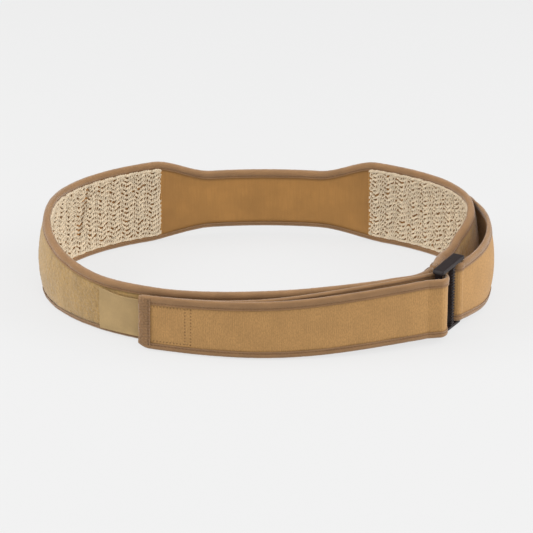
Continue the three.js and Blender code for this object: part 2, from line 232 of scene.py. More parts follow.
class Path:
    """A plan path with evenly spaced stations; each has a point, an outward normal, edges and a lean.

    The rows given are x, y, lower edge, upper edge, lean and side share.
    """

    def __init__(self, rows, step, soften=0):
        for _ in range(soften):
            rows = self._cut_corners(rows)
        run = np.concatenate([[0.0], np.cumsum(np.linalg.norm(np.diff(rows[:, :2], axis=0), axis=1))])
        keep = np.concatenate([[True], np.diff(run) > 1e-6])
        rows, run = rows[keep], run[keep]
        self.length = run[-1]
        self.s = np.linspace(0.0, self.length, max(int(round(self.length / step)), 2) + 1)
        columns = [np.interp(self.s, run, rows[:, i]) for i in range(6)]
        self.xy = np.stack(columns[:2], -1)
        self.low, self.high, self.lean, self.side_share = columns[2:]
        self.tall = self.high - self.low
        along = unit(np.gradient(self.xy, axis=0))
        self.normal = np.stack([along[:, 1], -along[:, 0]], -1)

    @staticmethod
    def _cut_corners(rows):
        """Replaces every inner row by two rows a quarter of the way along its neighbours."""
        mixed = np.empty((2 * (len(rows) - 1), rows.shape[1]))
        mixed[0::2] = (rows[:-1] * 3 + rows[1:]) / 4
        mixed[1::2] = (rows[:-1] + rows[1:] * 3) / 4
        return np.concatenate([rows[:1], mixed, rows[-1:]])

    def at(self, s, u, z):
        """World points in mm for arc lengths s, offsets u and heights z (arrays of one shape)."""
        s, u, z = np.broadcast_arrays(s, u, z)
        rise = z / LEAN_HEIGHT
        round_side = BULGE * 4.0 * rise * (1.0 - rise) - TUCK * (1.0 - rise) ** 3 - SIDE_LEAN * rise
        lean, share = (np.interp(s, self.s, values) for values in (self.lean, self.side_share))
        out = u + lean * (LEAN * (1.0 - rise) + share * round_side)
        x, y = (
            np.interp(s, self.s, self.xy[:, i]) + np.interp(s, self.s, self.normal[:, i]) * out + CENTRE[i]
            for i in range(2)
        )
        return np.stack([x, y, z], -1)

    def side(self, s):
        """The outward direction at arc lengths s."""
        x, y = (np.interp(s, self.s, self.normal[:, i]) for i in range(2))
        return np.stack([x, y, np.zeros_like(x)], -1)

    def along(self, s):
        """The path's own direction at arc lengths s."""
        side = self.side(s)
        return np.stack([-side[..., 1], side[..., 0], side[..., 2]], -1)

    def edges(self, s):
        """The lower and the upper edge at arc lengths s."""
        return np.interp(s, self.s, self.low), np.interp(s, self.s, self.high)

    def near(self, point):
        """The arc length of the station nearest to a plan point."""
        return self.s[np.argmin(np.linalg.norm(self.xy - point, axis=1))]


def plan_rows(angles, points, edges):
    return np.column_stack([points, *edges(angles)])


def band_path(start, end, step):
    angles = np.linspace(start, end, 4000)
    return Path(plan_rows(angles, band_plan(angles), band_edges), step)


def whole_band(step):
    return band_path(RIGHT_END + END_GAP, LEFT_END - END_GAP, step)


def pull_path(start, offset, turn_from, step, drop=0.0):
    """A run of the pull strap from an angle, then its turn round the buckle's bar up to the middle."""
    angles = np.linspace(start, LOOP_START + 3.0, 800)
    run = plan_rows(angles, on_ellipse(angles, offset(angles)), pull_edges)
    run[:, 3] -= drop * (1.0 - smooth((angles + 102.0) / 30.0))
    turn = around(PULL_BAR, LOOP_RADIUS, turn_from, LOOP_SPLIT)
    edges = np.tile([SLOT_LIFT, SLOT_LIFT + SLOT_WIDTH, 0.0, 0.0], (len(turn), 1))
    return Path(np.concatenate([run, np.concatenate([turn, edges], 1)]), step, soften=3)


def front_path(step):
    return pull_path(TAB_SEAM, front_offset, -72.0, step)


def inner_path(step):
    return pull_path(RETURN_END, return_offset, 105.0, step, drop=3.5)


def tab_path(end, step):
    """The pull strap's end, with the corners of its tip drawn in."""
    angles = np.linspace(TAB_END, end, 400)
    rows = plan_rows(angles, on_ellipse(angles, front_offset(angles)), pull_edges)
    run = np.linalg.norm(rows[:, :2] - rows[0, :2], axis=1)
    rows[:, 2] += 3.4 * np.maximum(1.0 - run / 10.0, 0.0) ** 2
    rows[:, 3] -= 0.9 * np.maximum(1.0 - run / 8.0, 0.0) ** 2
    return Path(rows, step)


def anchor_path(step):
    angles = np.linspace(ANCHOR_END, ANCHOR_ROOT, 500)
    rows = plan_rows(angles, band_plan(angles), band_edges)
    rows[:, 3] -= 2.8 * smooth((angles - ANCHOR_END) / 8.0)
    return Path(rows, step)


def fixed_path(step):
    """The fixed strap: a tail, the fold round the buckle's bar, then the run to its sewn end."""
    angles = np.linspace(-33.0, FIXED_START, 600)
    run = plan_rows(angles, on_ellipse(angles, fixed_offset(angles)), fixed_edges)
    radius = BUCKLE["fixed"] + BAR_CLEARANCE + STRAP_HALF
    fold = around(FIXED_BAR, radius, BUCKLE["heading"] - 270.0, BUCKLE["heading"] - 90.0)
    tail = fold[0] + ALONG_BUCKLE * np.linspace(FIXED_TAIL, 1.0, 24)[:, None]
    bent = np.concatenate([tail, fold])
    bent = np.concatenate([bent, np.tile(fixed_edges(np.array(-45.0)), (len(bent), 1))], 1)
    bent[:len(tail), 3] -= 7.0 * smooth(np.linspace(2.2, 0.0, len(tail)))
    return Path(np.concatenate([bent, run]), step, soften=3)


# ---------------------------------------------------------------- meshes


def wander(s, wavelength, seed):
    """A smooth, repeatable curve that wanders between about -1 and 1."""
    random = np.random.default_rng(seed)
    total = np.zeros_like(np.asarray(s, float))
    for share in (1.0, 0.61, 0.37):
        total = total + np.sin(2 * np.pi * (s / (wavelength * share) + random.random())) * share
    return total / 1.5


def ripple(s, t, wavelength, seed, waves=7):
    """A smooth, repeatable height field over a cloth's own coordinates."""
    random = np.random.default_rng(seed)
    total = 0.0
    for _ in range(waves):
        turn, phase = random.random(2) * 2 * np.pi
        length = wavelength * (0.6 + 0.9 * random.random())
        total = total + np.sin(2 * np.pi * (s * math.cos(turn) + t * math.sin(turn)) / length + phase)
    return total / math.sqrt(waves)


def bell(distance, width):
    """1 at no distance, fading to 0 over about twice the width."""
    return np.exp(-((distance / width) ** 2))


def make_object(name, points, faces, material, cloth=None, shade=None, sharp=50.0):
    """A mesh object from points in mm. faces is a list of (count, corners) index arrays."""
    mesh = bpy.data.meshes.new(name)
    points = np.asarray(points, float).reshape(-1, 3)
    mesh.vertices.add(len(points))
    mesh.vertices.foreach_set("co", (points * MM).astype(np.float32).ravel())
    loops = np.concatenate([f.ravel() for f in faces])
    counts = np.concatenate([np.full(len(f), f.shape[1]) for f in faces])
    starts = np.concatenate([[0], np.cumsum(counts)[:-1]])
    mesh.loops.add(len(loops))
    mesh.loops.foreach_set("vertex_index", loops.astype(np.int32))
    mesh.polygons.add(len(counts))
    mesh.polygons.foreach_set("loop_start", starts.astype(np.int32))
    mesh.polygons.foreach_set("use_smooth", np.ones(len(counts), bool))
    mesh.update(calc_edges=True)
    mesh.calc_loop_triangles()
    corners = np.zeros(len(mesh.loop_triangles) * 3, np.int32)
    mesh.loop_triangles.foreach_get("vertices", corners)
    a, b, c = (points[corners.reshape(-1, 3)[:, i]] for i in range(3))
    if (a * np.cross(b, c)).sum() < 0:
        mesh.flip_normals()
    layers = (("cloth", "FLOAT_VECTOR", "vector", cloth), ("shade", "FLOAT", "value", shade))
    for label, kind, field, values in layers:
        if values is not None:
            layer = mesh.attributes.new(label, kind, "POINT")
            layer.data.foreach_set(field, np.asarray(values, np.float32).ravel())
    mesh.set_sharp_from_angle(angle=math.radians(sharp))
    mesh.materials.append(material)
    return place(bpy.data.objects.new(name, mesh))


def place(item):
    """Links an object to the scene."""
    SCENE.collection.objects.link(item)
    return item


def grid_faces(rows, columns):
    """Quads of a grid of points whose last column joins its first."""
    i, j = np.meshgrid(np.arange(rows - 1), np.arange(columns), indexing="ij")
    after = (j + 1) % columns
    quads = [i * columns + j, (i + 1) * columns + j, (i + 1) * columns + after, i * columns + after]
    return np.stack(quads, -1).reshape(-1, 4)


def end_faces(rows, columns):
    """The faces that close both ends of such a grid."""
    first = np.arange(columns)[None, :]
    return [first, (rows - 1) * columns + first[:, ::-1]]


def ringed(name, points, material, cloth, shade, sharp):
    """A closed solid from rings of points (stations by corners)."""
    size = points.shape[:2]
    return make_object(name, points, [grid_faces(*size), *end_faces(*size)], material, cloth, shade, sharp)


def sweep(name, path, u, z, material, t=None, shade=None, sharp=50.0):
    """A closed solid: the ring of section points u, z (stations by corners) swept along a path."""
    u, z = np.broadcast_arrays(u, z)
    s = np.repeat(path.s[:, None], u.shape[1], 1)
    cloth = np.stack([s, z if t is None else np.broadcast_to(t, u.shape), u], -1)
    shade = None if shade is None else np.broadcast_to(shade, u.shape)
    return ringed(name, path.at(s, u, z), MATERIALS[material], cloth, shade, sharp)


def sheet_section(path, inner, outer, low, high, columns, inner_columns=None):
    """A flat cloth's outer side (u, z), going up, and its inner side, going down."""
    sides = []
    for u, count, ends in ((outer, columns, (0.0, 1.0)), (inner, inner_columns or columns, (1.0, 0.0))):
        z = lerp((path.low + low)[:, None], (path.high - high)[:, None], np.linspace(*ends, count)[None, :])
        sides.append((np.full_like(z, u), z))
    return sides


def both(outer, inner):
    return np.concatenate([outer, inner], 1)


def tubes(name, lines, sides, radii, material, corners=6, apart=37.7, shades=None):
    """Closed round threads in one object.

    lines are arrays of points in mm, sides directions that no thread runs along, and radii and
    shades have a value for each point. apart sets off each thread's own cloth coordinates.
    """
    turn = np.linspace(0, 2 * np.pi, corners, endpoint=False)
    points, quads, caps, cloth, offset = [], [], [], [], 0
    for number, (line, side, radius) in enumerate(zip(lines, sides, radii)):
        along = unit(np.gradient(line, axis=0))
        across = unit(np.cross(along, side))
        up = np.cross(across, along)
        ring = across[:, None] * np.cos(turn)[:, None] + up[:, None] * np.sin(turn)[:, None]
        points.append((line[:, None] + ring * radius[:, None, None]).reshape(-1, 3))
        quads.append(grid_faces(len(line), corners) + offset)
        caps.extend(face + offset for face in end_faces(len(line), corners))
        run = np.concatenate([[0.0], np.cumsum(np.linalg.norm(np.diff(line, axis=0), axis=1))])
        own = np.broadcast_arrays(run[:, None] + number * apart, turn * 0.3, float(number))
        cloth.append(np.stack(own, -1).reshape(-1, 3))
        offset += len(line) * corners
    faces = [np.concatenate(quads), np.concatenate(caps)]
    shade = None if shades is None else np.repeat(np.concatenate(shades), corners)
    return make_object(name, np.concatenate(points), faces, MATERIALS[material], np.concatenate(cloth), shade)


# ---------------------------------------------------------------- materials


class Shader:
    """A material under construction: its node tree, its Principled shader and its colour so far."""

    def __init__(self, name, base=None, **values):
        self.material = bpy.data.materials.new(name)
        self.material.use_nodes = True
        self.tree = self.material.node_tree
        self.surface = self.tree.nodes["Principled BSDF"]
        self.base = base
        for label, value in values.items():
            self.set(label.replace("_", " ").title(), value)

    def set(self, label, value):
        self.surface.inputs[label].default_value = value

    def add(self, kind, inputs=None, **settings):
        node = self.tree.nodes.new("ShaderNode" + kind)
        for label, value in settings.items():
            setattr(node, label, value)
        for label, value in (inputs or {}).items():
            if isinstance(value, bpy.types.NodeSocket):
                self.tree.links.new(value, node.inputs[label])
            else:
                node.inputs[label].default_value = value
        return node

    def own(self, attribute, output="Vector"):
        """An attribute of the mesh: its cloth coordinates in mm, or its shade."""
        return self.add("Attribute", attribute_name=attribute).outputs[output]

    def axis(self, index):
        return self.add("SeparateXYZ", {0: self.own("cloth")}).outputs[index]

    def math(self, operation, a, b=0.0):
        return self.add("Math", {0: a, 1: b}, operation=operation).outputs[0]

    def noise(self, stretch, scale, detail=2.0, roughness=0.5):
        """Noise over the cloth's coordinates times a stretch, or over a vector socket."""
        if isinstance(stretch, tuple):
            stretch = self.add("Mapping", {"Vector": self.own("cloth"), "Scale": stretch}).outputs["Vector"]
        inputs = {"Vector": stretch, "Scale": scale, "Detail": detail, "Roughness": roughness}
        return self.add("TexNoise", inputs).outputs["Fac"]

    def wave(self, value, pitch, phase=0.0):
        """A cosine, from 0 to 1, of a length in mm or along one axis of the cloth."""
        value = self.axis(value) if isinstance(value, int) else value
        turned = self.add("Math", {0: value, 1: 2 * math.pi / pitch, 2: phase}, operation="MULTIPLY_ADD")
        cosine = self.math("COSINE", turned.outputs[0])
        return self.add("Math", {0: cosine, 1: 0.5, 2: 0.5}, operation="MULTIPLY_ADD").outputs[0]

    def spread(self, value, low, high, to_low=0.0, to_high=1.0):
        inputs = {"Value": value, "From Min": low, "From Max": high, "To Min": to_low, "To Max": to_high}
        return self.add("MapRange", inputs).outputs["Result"]

    def mix(self, factor, a, b):
        node = self.add("Mix", {"Factor": factor}, data_type="RGBA")
        for socket, value in ((node.inputs[6], a), (node.inputs[7], b)):
            if isinstance(value, bpy.types.NodeSocket):
                self.tree.links.new(value, socket)
            else:
                socket.default_value = (*(c * value for c in self.base), 1.0)
        return node.outputs[2]

    def tones(self, field, low, high, dark, light):
        """Starts the colour: two tones of the base, mixed by a field."""
        self.colour = self.mix(self.spread(field, low, high), dark, light)

    def tint(self, field, low, high, start, end, tone):
        """Mixes in a further tone of the base, by a share that goes from start to end."""
        self.colour = self.mix(self.spread(field, low, high, start, end), self.colour, tone)

    def link(self, value, label):
        self.tree.links.new(value, self.surface.inputs[label])

    def finish(self, relief, depth, groove=None):
        """Adds the bump and the colour. Where the mesh's shade is high, the colour goes to the groove tone:
        painted shade in stitched grooves, needle holes, tucks, creases and beside hems, plus the end tapes'
        random mottle.
        """
        if groove is not None:
            self.colour = self.mix(self.own("shade", "Fac"), self.colour, groove)
        self.link(self.colour, "Base Color")
        bump = self.add("Bump", {"Height": relief, "Distance": depth * MM, "Strength": 1.0})
        self.link(bump.outputs["Normal"], "Normal")
        return self.material


def srgb(red, green, blue):
    """Linear values of a colour given as 0 to 255."""
    channels = [c / 255.0 for c in (red, green, blue)]
    return tuple(c / 12.92 if c <= 0.04045 else ((c + 0.055) / 1.055) ** 2.4 for c in channels)


PLAIN = (1.0, 1.0, 1.0)


def webbing_material(name, base):
    """Elastic webbing: upright ribs crossed by fine yarns, a little worn and uneven."""
    sh = Shader(name, base, roughness=0.82, sheen_weight=0.12, sheen_roughness=0.5)
    rib, yarn = sh.wave(0, RIB_PITCH, math.pi), sh.wave(1, 0.75)
    fibre = sh.noise((1.0, 0.4, 1.0), 1.1, 2.0, 0.7)
    sh.tones(sh.noise((0.9, 0.05, 0.0), 1.0, 3.0, 0.6), 0.32, 0.68, 0.9, 1.1)
    sh.tint(rib, 0.0, 0.55, 0.5, 0.0, 0.78)
    sh.tint(sh.noise(PLAIN, 0.045), 0.35, 0.65, 0.0, 0.6, 1.16)
    sh.tint(fibre, 0.42, 0.62, 0.0, 0.75, 0.74)
    height = sh.math("ADD", sh.math("MULTIPLY", rib, 0.4), sh.math("MULTIPLY", yarn, 0.4))
    return sh.finish(sh.math("ADD", height, fibre), 0.1, 0.34)


def binding_material(name, base):
    """Folded binding tape: a fine soft weave that takes up creases and dust."""
    sh = Shader(name, base, roughness=0.78, sheen_weight=0.5, sheen_roughness=0.4)
    weave = sh.math("MULTIPLY", sh.wave(0, 0.7), sh.wave(1, 0.55))
    fibre = sh.noise((1.0, 1.6, 1.0), 1.3, 3.0, 0.7)
    sh.tones(sh.noise((0.5, 1.0, 1.0), 0.12, 3.0, 0.6), 0.35, 0.65, 0.9, 1.1)
    sh.tint(fibre, 0.4, 0.75, 0.0, 0.45, 0.78)
    return sh.finish(sh.math("ADD", weave, fibre), 0.1, 0.4)


def pile_material(name, base):
    """Fuzzy loop pile, brushed up and down, lighter where the loops stand up."""
    sh = Shader(name, base, roughness=0.95, sheen_weight=0.35, sheen_roughness=0.6)
    loops = sh.noise((1.0, 0.55, 1.0), 1.1, 4.0, 0.7)
    sh.tones(sh.noise((0.2, 0.035, 0.0), 1.0, 3.0, 0.65), 0.3, 0.7, 0.76, 1.2)
    sh.tint(loops, 0.36, 0.64, 0.75, 0.0, 0.6)
    sh.tint(sh.noise(PLAIN, 0.03), 0.35, 0.7, 0.0, 0.3, 1.2)
    return sh.finish(loops, 0.5, 0.4)


def lining_material(name, base):
    """Smooth brushed knit lining with faint wales."""
    sh = Shader(name, base, roughness=0.8, sheen_weight=0.2, sheen_roughness=0.4)
    wale, nap = sh.wave(0, 1.1), sh.noise(PLAIN, 1.4, 3.0, 0.7)
    sh.tones(sh.noise(PLAIN, 0.035, 3.0, 0.55), 0.35, 0.65, 0.9, 1.12)
    sh.tint(sh.noise((0.5, 0.04, 0.0), 1.0, 3.0, 0.6), 0.35, 0.65, 0.0, 0.4, 0.82)
    sh.tint(nap, 0.45, 0.75, 0.0, 0.3, 1.25)
    return sh.finish(sh.math("ADD", nap, sh.math("MULTIPLY", wale, 0.4)), 0.1, 0.45)


def yarn_material(name, base):
    """Soft plied yarn: a twist of fibres with a slight gloss."""
    sh = Shader(name, base, roughness=0.7, sheen_weight=0.2, sheen_roughness=0.4)
    twist = sh.wave(sh.math("ADD", sh.axis(0), sh.axis(1)), 0.8)
    fibre = sh.noise(PLAIN, 1.5, 3.0, 0.7)
    sh.tones(sh.noise((0.12, 0.0, 3.1), 1.0), 0.35, 0.65, 0.88, 1.1)
    sh.tint(fibre, 0.45, 0.7, 0.0, 0.4, 0.72)
    sh.tint(twist, 0.0, 0.4, 0.3, 0.0, 0.66)
    return sh.finish(sh.math("ADD", twist, fibre), 0.1, 0.42)


def woven_material(name, base, pitch=0.8):
    """Plain woven tape, scrim or thread."""
    sh = Shader(name, base, roughness=0.85, sheen_weight=0.12, sheen_roughness=0.5)
    over = sh.math("MULTIPLY", sh.wave(0, pitch), sh.wave(1, pitch * 0.8))
    fibre = sh.noise((1.0, 0.4, 1.0), 1.2, 3.0, 0.7)
    sh.tones(sh.noise(PLAIN, 0.06), 0.35, 0.65, 0.93, 1.08)
    sh.tint(fibre, 0.4, 0.75, 0.0, 0.35, 0.8)
    sh.tint(over, 0.0, 0.3, 0.12, 0.0, 0.7)
    return sh.finish(sh.math("ADD", over, fibre), 0.08, 0.4)


def foam_material(name, base):
    """Laminated foam with open cells."""
    sh = Shader(name, base, roughness=0.95)
    spot = sh.add("TexCoord").outputs["Object"]
    cells = sh.add("TexVoronoi", {"Vector": spot, "Scale": 900.0}).outputs["Distance"]
    sh.tones(cells, 0.0, 0.7, 0.6, 1.1)
    sh.tint(sh.noise(spot, 60.0, 3.0), 0.3, 0.7, 0.0, 0.4, 0.8)
    return sh.finish(cells, 0.3)


def plastic_material(name, base):
    """Satin moulded plastic with a fine spark texture and a painted highlight on its convex edges."""
    sh = Shader(name, base, roughness=0.42)
    sh.set("Specular IOR Level", 0.35)
    spot = sh.add("TexCoord").outputs["Object"]
    scuff = sh.noise(spot, 160.0, 4.0, 0.7)
    sh.tones(scuff, 0.45, 0.8, 1.0, 1.5)
    # Painted highlight: convex edges are lightened.
    sh.tint(sh.add("NewGeometry").outputs["Pointiness"], 0.5, 0.6, 0.0, 0.5, 2.2)
    sh.link(sh.spread(scuff, 0.3, 0.8, 0.36, 0.55), "Roughness")
    return sh.finish(sh.noise(spot, 1800.0, 3.0, 0.6), 0.04)


MATERIALS = {
    "binding": binding_material("binding_tape", srgb(147, 110, 71)),
    "lining": lining_material("brushed_lining", srgb(168, 121, 61)),
    "pile": pile_material("loop_pile", srgb(175, 138, 75)),
    "yarn": yarn_material("knit_yarn", srgb(231, 213, 184)),
    "scrim": woven_material("pad_scrim", srgb(170, 124, 70), 1.4),
    "webbing": webbing_material("ribbed_webbing", srgb(181, 137, 81)),
    "tab": woven_material("anchor_tape", srgb(176, 147, 100)),
    "hook": woven_material("hook_tape", srgb(168, 145, 108), 1.5),
    "thread": woven_material("sewing_thread", srgb(140, 98, 56), 0.5),
    "seam": woven_material("seam_thread", srgb(196, 148, 78), 0.5),
    "foam": foam_material("laminated_foam", srgb(112, 99, 88)),
    "plastic": plastic_material("satin_plastic", srgb(24, 13, 13)),
}


# ---------------------------------------------------------------- how pieces move


def plan_point(angle, offset):
    """A point of the belt's plan in metres, about halfway up a strap."""
    x, y = on_ellipse(np.array(float(angle)), offset) + CENTRE
    return (x * MM, y * MM, 30.0 * MM)


def bend(first, second, start, end):
    return first, second, plan_point(*start), plan_point(*end)


MOVES = {
    "band": ("band",),
    "buckle": ("buckle",),
    "tip": ("strap_tab",),
    "inner": bend("band", "buckle", (-62.0, 9.0), (-50.0, 11.5)),
    "front": bend("buckle", "pull_strap", (-49.5, 22.5), (-60.0, 20.0)),
    "tab": bend("pull_strap", "strap_tab", (TAB_HINGE + TAB_BLEND, 17.0), (TAB_HINGE - TAB_BLEND, 17.0)),
    "anchor": bend(
        "band", "anchor_tab", (ANCHOR_HINGE + ANCHOR_BLEND, 4.5), (ANCHOR_HINGE - ANCHOR_BLEND, 4.5),
    ),
}


def attach(piece, move, replaces=()):
    """Puts a piece on its body, or, for a piece between two bodies, bakes its transform; hides the CAD nodes
    it replaces.
    """
    spec = MOVES[move]
    if len(spec) == 1:
        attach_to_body(piece, spec[0])
    else:
        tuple(spec[2])
        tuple(spec[3])
        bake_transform(piece)
    if replaces:
        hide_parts(*replaces)
    return piece


def declare_sheet(piece, path, width, with_pieces=()):
    """Works out the area of a cloth whose width follows the path; width is a number or one value a station.
    """
    width = np.broadcast_to(width, path.s.shape)
    area = float(np.trapz(width, path.s)) * MM * MM


# ---------------------------------------------------------------- tapes and stitches


def needle_holes(s):
    """How firmly the stitches draw a cloth in, at arc lengths or heights."""
    return 0.65 + 0.35 * np.cos(2 * np.pi * s / STITCH_PITCH)


def folded_ring(half, leg, pinch_at, pinch, holes, columns=9):
    """A tape folded over an edge, as a ring of points: round its outer side, back along its inner one.

    Returns the distance from the fold's middle (one row for each of the holes), the distance from
    the edge, the share of the stitched groove and the length along the cloth.
    """
    crown = min(half, 2.6)
    straight = np.linspace(leg, crown, columns + 3)[:-1]
    turn = np.radians(np.linspace(0, 90, columns))
    w = np.concatenate([straight, crown - crown * np.sin(turn)])
    puff = 0.28 * bell(w - lerp(crown, pinch_at, 0.35), 1.3) * (half / BAND_HALF)
    v = np.concatenate([np.full(len(straight), half), half * np.cos(turn)]) + puff
    groove = bell(w - pinch_at, 0.55)
    v, w, groove = (np.concatenate([a, b[-2::-1]]) for a, b in ((v, -v), (w, w), (groove, groove)))
    along_v, along_w = np.gradient(v), np.gradient(w)
    size = np.hypot(along_v, along_w)
    inner_v, inner_w = v + along_w / size * TAPE, w - along_v / size * TAPE
    if abs(inner_v[0]) > abs(v[0]):
        inner_v, inner_w = v * 2 - inner_v, w * 2 - inner_w
    drawn = pinch * holes * groove * np.sign(v)
    rounds = ((w, inner_w), (groove, 0.0 * groove), (np.cumsum(size),) * 2)
    return both(v - drawn, (inner_v - drawn)[:, ::-1]), *(np.concatenate([a, b[::-1]]) for a, b in rounds)


ACROSS = np.linspace(-0.5, 0.5, 7) * STITCH_LENGTH
BOW = 0.3 * (1.0 - (np.abs(ACROSS) / (STITCH_LENGTH / 2)) ** 4) - 0.12


def stitches(path, s, middle, face, z):
    """The lines and sides of stitches on one face of a cloth."""
    return path.at(s, middle + face + math.copysign(1.0, face) * BOW, z), path.side(s)


def hem_row(path, middle, face, z):
    """Stitches along the path, at one height for each station."""
    end = 1.0 + STITCH_PITCH / 2
    s = np.arange(path.s[0] + end, path.s[-1] - end + 1e-6, STITCH_PITCH)[:, None] + ACROSS
    return stitches(path, s, middle, face, np.interp(s, path.s, z))


def upright_row(path, s, middle, face, low, high):
    """Stitches running up a cloth at one arc length."""
    count = int((high - low) / STITCH_PITCH)
    z = (low + (np.arange(count) + 0.5) * STITCH_PITCH)[:, None] + ACROSS
    return stitches(path, np.full(z.shape, s), middle, face, z)


def thread_piece(name, rows, move):
    """One piece of sewing thread from several stitch rows."""
    lines, sides = (np.concatenate([row[i] for row in rows]) for i in range(2))
    taper = np.array([0.45, 0.85, 1.0, 1.0, 1.0, 0.85, 0.45]) * THREAD
    return attach(tubes(name, lines, sides, [taper] * len(lines), "thread"), move)


def folded_tape(name, path, middle, half, leg, side, pinch, move, replaces, seed):
    """A binding tape folded over the path's upper or lower edge, with its two rows of stitches."""
    s = path.s[:, None]
    edge, into = (path.high, -1.0) if side == "top" else (path.low, 1.0)
    v, fold, groove, run = folded_ring(half, leg, leg - HEM_STITCH, pinch, needle_holes(s))
    v = v * (1.0 + 0.05 * wander(s, 31.0, seed + 2))
    loose = 0.16 * wander(s, 23.0, seed) + 0.09 * wander(s, 7.0, seed + 1)
    if side == "bottom":
        loose = np.clip(loose, -0.1, 0.3)
    z = edge[:, None] + into * fold + 0.6 * np.abs(loose)
    # Painted shade: darker in the stitched groove, most at the needle holes, and a little along the tape's
    # cut edge.
    shade = np.where(fold > leg - 0.3, 0.1, groove * (0.25 + 0.55 * needle_holes(s)))
    piece = sweep(name, path, middle + v, z, "binding", t=run, shade=shade, sharp=60.0)
    attach(piece, move, replaces)
    seam, face = edge + into * (leg - HEM_STITCH), half - pinch * 0.8
    threads = thread_piece(name + "_stitches", [hem_row(path, middle, f, seam) for f in (face, -face)], move)
    declare_sheet(piece, path, 2 * leg + 2 * half - 2.0, with_pieces=[threads])


def end_tape(name, path, at_start, reach, middle, half, move, replaces, seed, lift):
    """An upright tape folded over a cloth's end. It is swept up the end, not along the path."""
    tip, into = (path.s[0], 1.0) if at_start else (path.s[-1], -1.0)
    low, high = path.edges(tip)
    levels = np.linspace(low - 0.1, high + 0.1, 90)[:, None]
    holes = needle_holes(levels)
    v, fold, groove, _ = folded_ring(half + lift, reach, reach - END_STITCH, 0.45, holes, 12)
    near_end = np.clip(np.minimum(levels - low, high - levels) / 2.4, 0.0, 1.0)
    round_off = 1.0 - np.sqrt(near_end * (2.0 - near_end))
    v = v * (1.0 - 0.35 * round_off)
    rumple = 0.16 * ripple(fold[:len(fold) // 2] * 1.6, levels * 1.3, 4.2, seed)
    v = v + both(rumple, rumple[:, ::-1]) * np.sign(v)
    upper = (levels - low) / (high - low) > 0.5
    wave = 0.35 * wander(levels, 17.0, seed) + round_off * np.where(upper, 1.6, 1.9)
    s = tip + into * np.minimum(fold + wave * np.exp(-fold / 3.0), reach + 0.5) - into * 0.3
    z = np.broadcast_to(levels, s.shape)
    past = s - np.clip(s, path.s[0], path.s[-1])
    points = path.at(s, middle + v, z) + path.along(s) * past[..., None]
    mottle = np.clip(0.25 + 0.3 * ripple(fold * 1.4, levels * 1.7, 3.1, seed + 5), 0.0, 0.6)
    # Painted shade in the stitched groove and at the needle holes, with the random mottle added on top.
    shade = np.clip(groove * (0.25 + 0.5 * holes) + 0.7 * mottle, 0.0, 0.8)
    cloth = np.stack(np.broadcast_arrays(z, fold, v), -1)
    piece = ringed(name, points, MATERIALS["binding"], cloth, shade, 60.0)
    attach(piece, move, replaces)
    seam, face = tip + into * (reach - END_STITCH), half + lift - 0.45
    rows = [upright_row(path, seam, middle, f, low + 3.0, high - 3.0) for f in (face, -face)]
    threads = thread_piece(name + "_stitches", rows, move)


# ---------------------------------------------------------------- band


def between_tapes(path, face, legs):
    """How far points of a face are above the lower tape, and how far below the upper one."""
    return face - path.low[:, None] - legs["bottom"], path.high[:, None] - legs["top"] - face


def make_core():
    path = whole_band(3.0)
    (out, face), (inner, back) = sheet_section(path, -1.0, 0.9, INSET, INSET, 12)
    core = sweep("foam_core", path, both(out, inner), both(face, back), "foam")
    attach(core, "band", ["band_core"])


def make_lining():
    """The lining, softly wavy, shaded beside the hems and the pads."""
    path = whole_band(1.6)
    s = path.s[:, None]
    (out, front), (inner, face) = sheet_section(path, -1.9, -1.3, INSET, INSET, 6, 44)
    above, below = between_tapes(path, face, BAND_LEGS)
    free = smooth(above / 6.0) * smooth(below / 6.0)
    inner = inner + free * 0.22 * ripple(s, face * 0.7, 46.0, 11) - 0.12 * free
    # Painted shade: the lining darkens towards the hems and beside the pads' edges.
    dark = 1.0 - smooth(np.minimum(above - 0.2, below - 0.2) / 3.2)
    for edge in (PAD_EDGE, 180.0 - PAD_EDGE):
        dark = np.maximum(dark, 0.45 * bell(s - path.near(band_plan(np.array(edge))), 22.0))
    shade = both(0.0 * out, dark * 0.55)
    lining = sweep("brushed_lining", path, both(out, inner), both(front, face), "lining", shade=shade)
    attach(lining, "band", ["band_lining"])
    declare_sheet(lining, path, path.tall - 2 * INSET)


def make_pile():
    """The loop pile: a tufted outer face, tucked under the tapes."""
    path = whole_band(0.95)
    (out, face), (inner, back) = sheet_section(path, 1.2, 2.0, INSET, INSET, 66, 6)
    tuft = np.random.default_rng(5).normal(0.0, 1.0, out.shape)
    tuft = tuft + 0.5 * (np.roll(tuft, 1, 1) + np.roll(tuft, -1, 1))
    out = out + np.clip(0.13 * tuft, -0.3, 0.35) + 0.12 * ripple(path.s[:, None], face * 0.4, 18.0, 21)
    above, below = between_tapes(path, face, BAND_LEGS)
    tuck = np.maximum(1.0 - smooth(below / 2.5), 1.0 - smooth(above / 2.0))
    out = out + 0.45 * (1.0 - tuck) - 0.1
    # Painted shade where the pile tucks under the tapes.
    shade = both(tuck * 0.45, 0.0 * inner)
    pile = sweep("loop_pile", path, both(out, inner), both(face, back), "pile", shade=shade, sharp=180.0)
    attach(pile, "band", ["band_pile"])
    declare_sheet(pile, path, path.tall - 2 * INSET)


def make_band_tapes():
    path = whole_band(0.8)
    for side, seed in (("top", 31), ("bottom", 41)):
        folded_tape(
            f"band_tape_{side}", path, BAND_MIDDLE, BAND_HALF, BAND_LEGS[side], side, 0.35, "band",
            [f"band_binding_{side}"], seed,
        )
    path = band_path(RIGHT_END, LEFT_END, 0.8)
    for side, at_start, seed in (("right", True, 51), ("left", False, 61)):
        end_tape(
            f"band_end_tape_{side}", path, at_start, 8.0, BAND_MIDDLE, BAND_HALF, "band",
            [f"band_end_binding_{side}"], seed, 0.3,
        )


# ---------------------------------------------------------------- knitted grip pads


